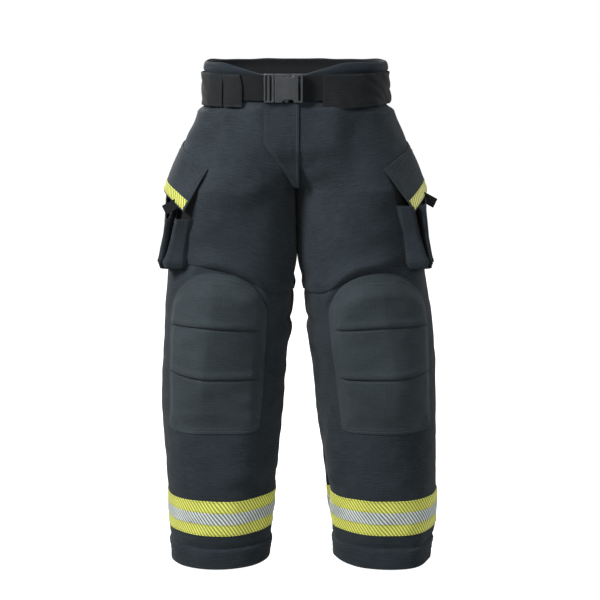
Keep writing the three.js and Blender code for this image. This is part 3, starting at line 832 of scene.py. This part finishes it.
def build_belt():
    finish(sheet("belt_webbing", belt_point, (belt_at(12), belt_at(-50), 220),
        (BELT_HALF, -BELT_HALF, 9), -2.0, -0.2, uv=(WAIST_GIRTH, MM), edge=0.5), WEBBING,
        "waist")

    def tunnel(start, end, drop, seed):
        def place(t, z, h):
            slack = smooth(np.minimum(t - start, end - t), 0.0, 0.03)
            wave = 2.6 * ripple((t * WAIST_GIRTH / MM + z * 0.9) / 48, z / 70, seed) * slack
            far = (t - start) / (end - start)
            sag = drop * smooth(z, 10, -33) * np.where(start < 0.5, mix(1.4, 0.2, smooth(far, 0, 0.45)), 1)
            return belt_point(t, z - sag, h + 0.6 * slack + np.abs(wave) * 0.9)

        return place

    spans = {"left": (belt_at(53), belt_at(60, True), 7, 31),
             "right": (belt_at(-60, True), belt_at(-146), 5, 47)}
    for name, (start, end, drop, seed) in spans.items():
        place = tunnel(start, end, drop, seed)
        finish(sheet("belt_tunnel_" + name, place, (start, end, 150), (27, -33, 16), 1.2, 2.8,
            uv=(WAIST_GIRTH, MM), edge=0.6), TUNNEL, "waist")
        t = np.linspace(start + 0.003, end - 0.003, 900)
        rows = [place(t, z, 3.0) for z in (24.0, -30.0)]
        rows += [place(at, np.linspace(25, -31, 60), 3.0) for at in (t[0], t[-1])]
        sew("tunnel_stitching_" + name, rows, THREAD_DARK, "webbing", "waist", radius=0.4)

    start, end = belt_at(-142), belt_at(-106)

    def loop_place(t, z, h):
        share = (t - start) / (end - start)
        stand = 2.2 * arch(share) ** 0.6 * smooth(np.abs(z + 4), 32, 14)
        return belt_point(t - 0.004 * smooth(z, 0, 28), z, h + stand + 1.2)

    finish(sheet("belt_loop", loop_place, (start, end, 30), (26, -38, 40), 1.2, 3.0,
        uv=(WAIST_GIRTH, MM), edge=0.6), TUNNEL, "waist")
    tacks = []
    for z0 in (23, -36):
        t = np.linspace(start + 0.003, end - 0.003, 120)
        zig = z0 + np.where(np.arange(120) % 2, 1.0, -1.0)
        tacks.append(loop_place(t, zig, 3.2))
    sew("loop_bartacks", tacks, THREAD_DARK, "webbing", "waist", radius=0.35, pitch=2.0, length=1.9)


BUCKLE_BACK, BUCKLE_FRONT, BUCKLE_HALF = -134.9, -147, 28
FRAME_END, PLUG_END, SOCKET_END, SLOT_START, BAR_END = -63, -42.5, -41.5, 5, 14
WALL = 2.2


def outline(corners, radius):
    """A closed outline in X and Z with its corners rounded."""
    pts = np.asarray(corners, float)
    made = []
    for i in range(len(pts)):
        before, at, after = pts[i - 1], pts[i], pts[(i + 1) % len(pts)]
        reach = min(radius, np.linalg.norm(before - at) / 2.2, np.linalg.norm(after - at) / 2.2)
        a = at + (before - at) / np.linalg.norm(before - at) * reach
        b = at + (after - at) / np.linalg.norm(after - at) * reach
        for k in np.linspace(0, 1, 6):
            made.append((1 - k) ** 2 * a + 2 * k * (1 - k) * at + k * k * b)
    return made


def rectangle(x0, x1, z0, z1):
    return [(x0, z0), (x1, z0), (x1, z1), (x0, z1)]


def plate(name, loops, y0, y1, bevel=0.5):
    """A bevelled plate from outlines in X and Z, the first one outside and the rest holes."""
    curve = bpy.data.curves.new(name, "CURVE")
    curve.dimensions, curve.fill_mode = "2D", "BOTH"
    for loop in loops:
        spline = curve.splines.new("POLY")
        spline.points.add(len(loop) - 1)
        for point, (x, z) in zip(spline.points, loop):
            point.co = (x * MM, z * MM, 0, 1)
        spline.use_cyclic_u = True
    curve.bevel_depth, curve.bevel_resolution = bevel * MM, 2
    curve.offset = -bevel * MM
    curve.extrude = (abs(y1 - y0) / 2 - bevel) * MM
    made = bpy.data.objects.new(name, curve)
    bpy.context.collection.objects.link(made)
    select([made])
    bpy.ops.object.convert(target="MESH")
    made = bpy.context.object
    for v in made.data.vertices:
        x, z, depth = v.co
        v.co = (x, (y0 + y1) / 2 * MM - depth, z)
    face_out(made)
    soften(made.data, 35)
    return made


def build_buckle():
    h, middle = BUCKLE_HALF, (BUCKLE_BACK + BUCKLE_FRONT) / 2
    face = [(SOCKET_END, -h), (-27, -h), (-24, -h + 6), (-6, -h + 6), (-3, -h), (BAR_END, -h),
            (BAR_END, h), (-3, h), (-6, h - 6), (-24, h - 6), (-27, h), (SOCKET_END, h)]
    slot = outline(rectangle(SLOT_START, SLOT_START + 5, -25, 25), 1.6)
    parts = [plate("socket_face", [outline(face, 2.4), slot], BUCKLE_FRONT, BUCKLE_FRONT + WALL, 0.7),
        plate("socket_back", [outline(face, 2.4), slot], BUCKLE_BACK - WALL, BUCKLE_BACK, 0.5),
        plate("socket_end", [outline(rectangle(SLOT_START - WALL, SLOT_START, -h + 1, h - 1), 0.6)],
        BUCKLE_FRONT + 1, BUCKLE_BACK - 1, 0.3),
        plate("socket_bar", [outline(rectangle(SLOT_START + 5, BAR_END, -h + 0.3, h - 0.3), 2.0)],
        BUCKLE_FRONT + 0.6, BUCKLE_BACK - 0.3, 1.2)]
    for up in (1, -1):
        for x0, x1 in ((SOCKET_END + 0.6, -26), (-4, BAR_END - 2)):
            z0, z1 = sorted((up * (h - WALL), up * (h - 0.2)))
            parts.append(plate("socket_rail", [outline(rectangle(x0, x1, z0, z1), 0.8)],
                BUCKLE_FRONT + 1, BUCKLE_BACK - 1, 0.4))
    # A shallow raised panel by the plug.
    parts.append(plate("socket_panel", [outline(rectangle(-38, 1, -19, 19), 3)], BUCKLE_FRONT - 0.35,
        BUCKLE_FRONT + 1, 0.3))
    socket = join("buckle_socket", parts)
    finish(socket, PLASTIC, "waist")

    slots = [outline(rectangle(FRAME_END + a, FRAME_END + b, -25, 25), 1.4) for a,
        b in ((3.5, 7), (12, 15.5))]
    plug = join("buckle_plug", [plate("plug_frame", [outline(rectangle(FRAME_END, PLUG_END, -h, h), 3.4)]
        + slots, BUCKLE_FRONT + 1, BUCKLE_BACK - 1, 1.1),
        plate("plug_tongue", [outline(rectangle(PLUG_END - 1, -8, -7, 7), 2)], middle - 2, middle + 2,
        0.6)])
    finish(plug, PLASTIC, "buckle_plug")
    for name, up in (("upper", 1), ("lower", -1)):
        arm = [(PLUG_END + 0.4, 14), (-22, 16), (-14, 19), (-14, 25.4), (-17, 27.4), (-23.5, 27.4),
               (-23.5, 25), (-26, 24.4), (PLUG_END + 0.4, 21)]
        arm = [(x, up * z) for x, z in arm][::up]
        latch = plate("buckle_latch_" + name, [outline(arm, 1.2)], middle - 2.5, middle + 2.5, 0.5)
        finish(latch, PLASTIC, "latch_" + name)


# ---- Fly
FLY_HINGE, FLY_EDGE, FLY_TOP = -65, 6, -29.5


def fly_point(x, z, height):
    """The plane that the zip lies on."""
    x, z, height = np.broadcast_arrays(x, z, height)
    return np.stack([x, ZIP_FRONT - ZIP_LEAN * (ZIP_TOP - z) - height, z], -1)


DEPTH_STEP = 2.0
DEPTH_X, DEPTH_Z = np.arange(0, 262, DEPTH_STEP), np.arange(-400, -8, DEPTH_STEP)
DEPTH_MAP = []  # filled on first use


def front_depth(x, z):
    """How far forward the draped front is at x, at heights z, looking straight on."""
    if not DEPTH_MAP:
        us = np.linspace(0, 0.45, 260)
        grid = surface(1, us[None, :], DEPTH_Z[:, None] + 0 * us[None, :])
        DEPTH_MAP.append(np.stack([np.interp(DEPTH_X, row[:, 0], row[:, 1]) for row in grid]))
    column = np.clip((np.abs(x) - DEPTH_X[0]) / DEPTH_STEP, 0, len(DEPTH_X) - 1.001)
    line = np.clip((np.asarray(z) - DEPTH_Z[0]) / DEPTH_STEP, 0, len(DEPTH_Z) - 1.001)
    i, j = column.astype(int), line.astype(int)
    a, b, table = column - i, line - j, DEPTH_MAP[0]
    near = mix(table[j, i], table[j, i + 1], a)
    return mix(near, mix(table[j + 1, i], table[j + 1, i + 1], a), b)


def fly_low(x):
    """The flap's lower edge: it runs slanting from the hinge stitching to the crotch."""
    return np.interp(x, [-65, -56, -30, -4, 6], [-108, -121, -156, -199, -202])


def flap_cloth(x, z, height):
    """The fly flap: flat over the zip, and lower down on the draped front."""
    x, z, height = np.broadcast_arrays(x, z, height)
    bridge = mix(6, 34, smooth(z, -120, -205))
    draped = front_depth(np.sqrt(x**2 + bridge**2), z) - 1.3
    flat = fly_point(x, z, FLY_STAND)[..., 1]
    lower = smooth(z, -95, -140)
    y = np.minimum(draped, mix(flat, draped, lower))
    puff = 0.9 * np.sin(z / 21.0) * smooth(np.minimum(x - FLY_HINGE, FLY_EDGE - x), 2, 26)
    return np.stack([x, y - height - puff, z], -1)


def build_fly():
    for name, side in SIDES:
        inner, outer = ZIP_X + side * 1.4, ZIP_X + side * 13.4
        strip = sheet("zip_tape_" + name, fly_point, (min(inner, outer), max(inner, outer), 6),
            (ZIP_TOP, ZIP_BOTTOM, 60), 0.0, 0.8, uv=(MM, MM), edge=0.3)
        teeth = []
        for at in np.arange(ZIP_TOP - 2, ZIP_BOTTOM + 3, -2.4) - (0.6 + 0.6 * side):
            p = fly_point(inner - side * 0.2, at, 1.1)
            bpy.ops.mesh.primitive_cube_add(size=1, location=(p * MM).tolist())
            tooth = bpy.context.object
            tooth.scale = (2.6 * MM, 1.4 * MM, 1.1 * MM)
            bpy.ops.object.transform_apply(location=True, rotation=True, scale=True)
            tooth.data.uv_layers[0].name = "cloth"
            teeth.append(tooth)
        finish(join("zip_teeth_" + name, teeth), BRASS, "waist", ())
        finish(strip, BLACK, "waist")

    def slider_plate(name, xs, z0, z1, y0, y1):
        part = plate(name, [outline(rectangle(xs[0], xs[1], z0, z1), 2.0)], y1, y0, 0.4)
        for v in part.data.vertices:
            v.co.y += (ZIP_FRONT - ZIP_LEAN * (ZIP_TOP - v.co.z / MM)) * MM
        return part

    slider = join("zip_slider", [
        slider_plate("slider_body", (ZIP_X - 4.5, ZIP_X + 4.5), 6, 18, -1.9, -3.3),
        slider_plate("slider_tongue", (ZIP_X - 1.6, ZIP_X + 1.6), 7, 21, -3.2, -3.9)])
    finish(slider, BRASS, "zip_slider")

    def place(x, v, h):
        return flap_cloth(x, mix(FLY_TOP, fly_low(x), v), h)

    flap = sheet("fly_flap", place, (FLY_HINGE, FLY_EDGE, 44), (0, 1, 64), 0.0, 1.8, uv=(MM, 0.16),
        edge=0.005)
    # The flap is cut square to the weave, so its cloth coordinates are straight on from the front.
    lay_cloth(flap.data, points_of(flap.data)[:, [0, 2]])
    start = Vector(FLY_PIVOT)
    bend = ("waist", "fly_flap", start, start + Vector(FLY_TURN) * FLY_REACH)
    finish(flap, SHELL, bend)
    paths = []
    z = np.linspace(FLY_TOP - 4, -108, 200)
    for inset in (2.6, 6.4):
        slant_x = np.linspace(FLY_HINGE + inset, FLY_EDGE - 6, 260)
        slant_z = fly_low(slant_x - inset * 0.55) + inset * 0.75
        paths.append(flap_cloth(slant_x[0], np.maximum(z, slant_z[0]), 2.1))
        paths.append(flap_cloth(slant_x, slant_z, 2.1))
    paths.append(flap_cloth(FLY_EDGE - 4.0, np.linspace(FLY_TOP - 4, -196, 300), 2.1))
    sew("fly_stitching", paths, THREAD_PATCH, "shell", bend)


# ---- Bellows pockets
POCKET_BOTTOM = -368
POCKET_TOP = -205
SEAM_X = (229, 217, 207, 197)  # the front seam, from the bottom up


def pocket_mouth(side, y):
    """The mouth is low at the front gusset, lower on the right, and higher along the face."""
    front = [-264, -242] if side < 0 else [-236, -232]
    return np.interp(y, [-98, -90, -72, -20], front + [-226, -213])


def rounded_path(points, count, ease):
    """Points evenly spread along a polyline whose corners are eased off."""
    points = np.asarray(points, float)
    run = np.concatenate([[0], np.cumsum(np.linalg.norm(np.diff(points, axis=0), axis=1))])
    fine = np.linspace(0, run[-1], 600)
    path = np.stack([np.interp(fine, run, points[:, k]) for k in range(2)], -1)
    reach = max(1, int(ease / run[-1] * 600))
    kernel = np.hanning(2 * reach + 3)
    kernel /= kernel.sum()
    padded = np.concatenate([2 * path[0] - path[reach + 1:0:-1], path,
        2 * path[-1] - path[-2:-reach - 3:-1]])
    path = np.stack([np.convolve(padded[:, k], kernel, "valid") for k in range(2)], -1)
    at = np.linspace(0, len(path) - 1, count)
    return np.stack([np.interp(at, np.arange(len(path)), path[:, k]) for k in range(2)], -1)


def pocket_plan(z):
    """Corners of the pocket wall at height z for the left side, from front seam to back seam."""
    top, low = -235, POCKET_BOTTOM
    face = mix(278, 268, smooth(z, low, -215)) - 3
    seam_x = np.interp(z, [low, -295, -253, -205], SEAM_X)
    seam_y = float(front_depth(seam_x, z))
    fold_in = np.interp(z, [low, -350, -300, top], [269, 265, 251, 235])
    fold_out = np.interp(z, [low, -350, -300, top], [275, 273, 263, 253])
    deep = np.interp(z, [low, -352, -300, top], [-88, -70, -52, -48])
    back_y = 6 - seam_y
    return [[seam_x - 3, seam_y + 2], [seam_x + 5, seam_y - 6], [fold_in - 4, seam_y - 7],
            [fold_in + 1, seam_y - 3], [(fold_in + fold_out) / 2 - 4, deep],
            [fold_out, seam_y + 4], [fold_out + 5, seam_y + 3],
            [face - 2, -80], [face + 1.5, 0], [face, 78], [face - 12, 92],
            [fold_in - 10, back_y - 2], [fold_in - 16, back_y - 30], [fold_in - 26, back_y - 2],
            [206, back_y - 3]]


def build_pocket(name, side):
    count, rows = 260, 46
    levels = np.linspace(POCKET_TOP, POCKET_BOTTOM, rows)
    plans = np.stack([rounded_path(pocket_plan(z), count, 3.0 if z > -340 else 4.5) for z in levels])
    ahead = np.gradient(plans, axis=1)
    out = np.stack([ahead[..., 1], -ahead[..., 0]], -1)
    out /= np.linalg.norm(out, axis=-1, keepdims=True)

    def wall(t, v, h):
        """v up to 1 goes down the wall, and from 1 to 2 across the bottom to the leg."""
        i = np.clip(np.round(t * (count - 1)).astype(int), 0, count - 1)
        top = (pocket_mouth(side, plans[0, i, 1]) - POCKET_TOP) / (POCKET_BOTTOM - POCKET_TOP)
        share = mix(top, 1.0, unit(v))
        r = share * (rows - 1)
        r0 = np.clip(np.floor(r).astype(int), 0, rows - 2)
        f = (r - r0)[..., None]
        at = plans[r0, i] * (1 - f) + plans[r0 + 1, i] * f
        away = out[r0, i] * (1 - f) + out[r0 + 1, i] * f
        z = mix(POCKET_TOP, POCKET_BOTTOM, share)
        across = unit(v - 1)
        roll = 7.0 * (1 - np.sqrt(unit(1 - unit((share - 0.93) / 0.07) ** 2)))
        inward = np.clip(at[..., 0] - 205, 0, None) * across
        bulge = 3.2 * arch(v) * smooth(at[..., 0], 250, 285)
        bulge = bulge + 0.6 * ripple(t * 4, z / 90, 5 if side < 0 else 8)
        wave = 3.0 * bump(share, 0.90, 0.05) * bump(at[..., 1], -96, 14)
        flat = at + away * (h * (1 - across) - roll + bulge * (1 - across) + wave)[..., None]
        return np.stack([side * (flat[..., 0] - inward), flat[..., 1], z - h * across - 1.5
            * np.sin(math.pi * across)], -1)

    ts = np.linspace(0, 1, count)
    vs = np.concatenate([np.linspace(0, 0.9, 34), np.linspace(0.91, 1, 12), np.linspace(1.12, 2, 8)])
    finish(sheet("cargo_pocket_" + name, wall, ts, vs, -1.0, 1.0, uv=(0.45, 0.14), edge=0.004), SHELL,
        "thigh_" + name)
    run = np.linspace(0.02, 0.97, 400)
    hem = np.linspace(0.01, 0.99, 1600)
    paths = [wall(at, run, 1.2) for at in (8 / count, 20 / count, 1 - 6 / count)]
    paths += [wall(hem, v, 1.2) for v in (0.03, 0.07)]
    sew("pocket_stitching_" + name, paths, THREAD_DARK, "shell", "thigh_" + name)


FLAP_FRONT, FLAP_BACK = 0.325, 0.665
SEAM_FRONT, SEAM_BACK = -166, -114
FLAP_LOW, FLAP_RISE = -247, 38
BACKING_SHADOW_FRONT = (0.366, 0.352, 0.340, 0.327)  # the front edge round the leg, from the bottom up


def flap_point(side):
    """The pocket flap: u from its front edge, 0, to its back, 1, and v from the seam down."""

    def place(u, v, h):
        u, v, h = np.broadcast_arrays(u, v, h)
        along = unit(u)
        z = mix(SEAM_FRONT, SEAM_BACK, 1 - (1 - along) ** 2.6)
        seam = surface(side, mix(FLAP_FRONT, FLAP_BACK, u), z, 1.0 + h)
        bow = 1 - np.abs(2 * along - 1) ** np.where(along < 0.5, 1.7, 3.0)
        corner = 226 if side < 0 else 237  # the left flap stands further out
        out = np.where(along < 0.5, corner, 234) + np.where(along < 0.5, 270 - corner, 36) * bow
        low_z = FLAP_LOW + FLAP_RISE * (1 - (1 - along) ** 3)
        low = np.stack([side * (out + h), mix(-122, 104, u), low_z], -1)
        belly = 3.0 * arch(v) * bow
        lift = 5.0 * arch(v) * (1 - smooth(along, 0.0, 0.2))
        wave = 1.2 * np.sin(7.5 * u + side) * smooth(v, 0.2, 1.0) + belly
        p = mix(seam, low, v[..., None])
        p[..., 0] += side * wave
        p[..., 1] -= lift
        return p

    return place


def build_backing_painted_shadow(name, side):
    """The pocket's inner wall on the leg behind the mouth, made black as painted shadow under the flap."""

    def place(u, v, h):
        z = mix(SEAM_FRONT - 6, POCKET_TOP - 90, v)
        front = np.interp(z, [-295, -253, -212, -166], BACKING_SHADOW_FRONT)
        return surface(side, mix(front, 0.52, u), z, h)

    # The black cloth here is painted shadow: the shade that the flap casts into the pocket.
    finish(sheet("pocket_backing_" + name, place, (0, 1, 60), (0, 1, 40), 0.2, 1.0, uv=(0.24, 0.12),
        edge=0.004), BLACK, "thigh_" + name, ())


TAB_REACH, TAB_WIDTH = 31, 20


def build_flap(name, side):
    place = flap_point(side)
    body = "pocket_flap_" + name
    bend = ("thigh_" + name, body, *(Vector(place(0.5, v, 0) * MM) for v in (0.04, 0.40)))
    finish(sheet("pocket_flap_" + name, place, (0, 1, 90), (-0.03, 1, 46), 0.0, 2.4, uv=(0.21, 0.09),
        edge=0.008), SHELL, bend)
    finish(sheet("flap_stripe_" + name, place, (0.012, 0.988, 80), (0.76, 0.965, 8), 2.6, 3.3,
        uv=(0.21, 0.09), edge=0.003), FLAP_YELLOW_SHADED, body)
    finish(sheet("flap_hook_tape_" + name, place, (0.3, 0.7, 20), (0.66, 0.9, 6), -1.4, -0.2,
        uv=(0.21, 0.09), edge=0.004), BLACK, body)

    # The tab is a strip of webbing folded double, pointing out and down from the flap's edge.
    at = 0.13 if side < 0 else 0.27
    root = place(at, 0.985, -2.0) + [-side * 3, 3, 0]
    run = np.array([side * 0.88, -0.10, -0.46])
    width = np.array([-side * 0.44, -0.18, -0.88])
    face = np.array([side * 0.10, -0.98, 0.14])

    def tab_place(a, s, h):
        turn = unit((s - 0.46) / 0.08) * math.pi
        reach = unit(np.minimum(s, 1 - s) / 0.46)
        away = np.cos(turn)[..., None] * face + np.sin(turn)[..., None] * run
        curl = 1.5 * np.sin(math.pi * reach)[..., None] * face
        return (root + run * (TAB_REACH * reach)[..., None] + width * (TAB_WIDTH * a)[..., None]
                + away * (1.1 + h)[..., None] + curl)

    finish(sheet("pull_tab_" + name, tab_place, (-0.5, 0.5, 10),
        np.concatenate([np.linspace(0, 0.45, 12), np.linspace(0.46, 0.54, 9), np.linspace(0.55, 1, 12)]),
        0.0, 1.1, uv=(0.02, 0.06), edge=0.002), WEBBING, body)
    u = np.linspace(0.01, 0.99, 700)
    top = [place(u, v, 2.5) for v in (0.03, 0.13)]
    edge = [place(u, v, 3.4) for v in (0.785, 0.94)]
    ends = [place(at, np.linspace(0.15, 0.74, 200), 2.5) for at in (0.02, 0.98)]
    sew("flap_seam_stitching_" + name, top, THREAD_DARK, "shell", bend)
    sew("flap_stripe_stitching_" + name, edge, YELLOW, "fluorescent", body, radius=0.35)
    sew("flap_edge_stitching_" + name, ends, THREAD_DARK, "shell", bend)


# ---- Stage
def build_stage():
    """A pale floor, lit evenly so that it runs into the white background."""
    bpy.ops.mesh.primitive_circle_add(vertices=96, radius=9, fill_type="NGON",
        location=(0, 0, (HEM - 14) * MM))
    floor = bpy.context.object
    floor.name = "floor"
    mat, n, shader = new_material("floor_pale")
    n.feed(shader, {"Base Color": rgb(0.35, 0.35, 0.35), "Roughness": 0.9,
                    "Emission Color": rgb(1, 1, 1), "Emission Strength": n.camera_ray()})
    floor.data.materials.append(mat)


def area_light(name, place, aim, size, power):
    lamp = bpy.data.lights.new(name, "AREA")
    lamp.size, lamp.energy = size, power
    obj = bpy.data.objects.new(name, lamp)
    bpy.context.collection.objects.link(obj)
    obj.location = place
    obj.rotation_euler = (Vector(aim) - Vector(place)).to_track_quat("-Z", "Y").to_euler()


AMBIENT = 0.14


def build_lights():
    world = bpy.data.worlds.new("studio")
    bpy.context.scene.world = world
    world.use_nodes = True
    sky = world.node_tree.nodes["Background"]
    n = Nodes(world.node_tree)
    n.feed(sky, {"Color": rgb(1, 1, 1), "Strength": n.remap(n.camera_ray(), 0, 1, AMBIENT, 1.0)})
    area_light("key", (-1.8, -1.35, 1.15), (0, 0, -0.2), 0.78, 96)
    area_light("fill", (0.75, -3.0, 1.0), (0, 0, -0.3), 1.7, 34)
    area_light("top", (-0.3, 0.2, 2.6), (0, 0, -0.3), 1.6, 45)
    area_light("back", (-1.6, 3.2, 1.3), (0, 0, -0.5), 1.6, 150)
    area_light("flank", (3.1, 1.8, 0.9), (0, 0, -0.5), 1.6, 60)


CAMERA_TILT, CAMERA_REACH = math.radians(10), 3.6
CAMERA_AIM = -0.449
VIEW_WIDTH = 1.26  # metres across the view, at the garment
SENSOR = 36


def build_camera():
    data = bpy.data.cameras.new("camera")
    cam = bpy.data.objects.new("camera", data)
    bpy.context.collection.objects.link(cam)
    back = Vector((0, -math.cos(CAMERA_TILT), math.sin(CAMERA_TILT)))
    cam.location = Vector((0.0084, 0, CAMERA_AIM)) + back * CAMERA_REACH
    cam.rotation_euler = (-back).to_track_quat("-Z", "Y").to_euler()
    data.sensor_width = SENSOR
    data.lens = SENSOR * CAMERA_REACH / VIEW_WIDTH
    bpy.context.scene.camera = cam
    bpy.context.scene.view_settings.view_transform = "Standard"


build_camera()
build_stage()
build_lights()
build_waist()
build_belt()
build_buckle()
build_fly()
for side_name, side_sign in SIDES:
    build_shell(side_name, side_sign)
    build_pocket(side_name, side_sign)
    build_backing_painted_shadow(side_name, side_sign)
    build_flap(side_name, side_sign)
    build_liner(side_name, side_sign)
    build_knee(side_name, side_sign)
    build_hem(side_name, side_sign)
